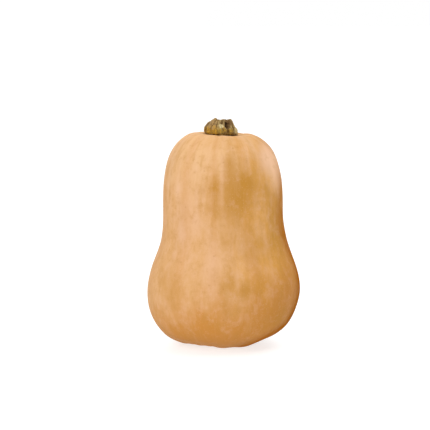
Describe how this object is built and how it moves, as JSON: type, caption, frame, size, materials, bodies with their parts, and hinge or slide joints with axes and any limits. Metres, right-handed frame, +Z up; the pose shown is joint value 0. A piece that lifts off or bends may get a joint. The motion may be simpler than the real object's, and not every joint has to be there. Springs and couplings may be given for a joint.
{
  "type": "butternut squash",
  "caption": "Butternut squash standing upright: a pear-shaped fruit with a thick neck, soft ribs and a short dry woody stem on top.",
  "frame": {"origin": "on the ground, under the middle of the squash's outline seen from above", "axes": "+Z up through the squash from its blossom end to its stem; -Y out of its front, +X to the right of that front as a viewer faces it"},
  "size_m": [0.1274, 0.1242, 0.19],
  "materials": {
    "squash_skin": "waxy matt rind, pale tan-orange with ochre blotches",
    "dry_stem": "dry, rough, furrowed stem, olive brown"
  },
  "bodies": {
    "root": {"fruit": "squash_skin", "stem": "dry_stem"}
  },
  "joints": []
}
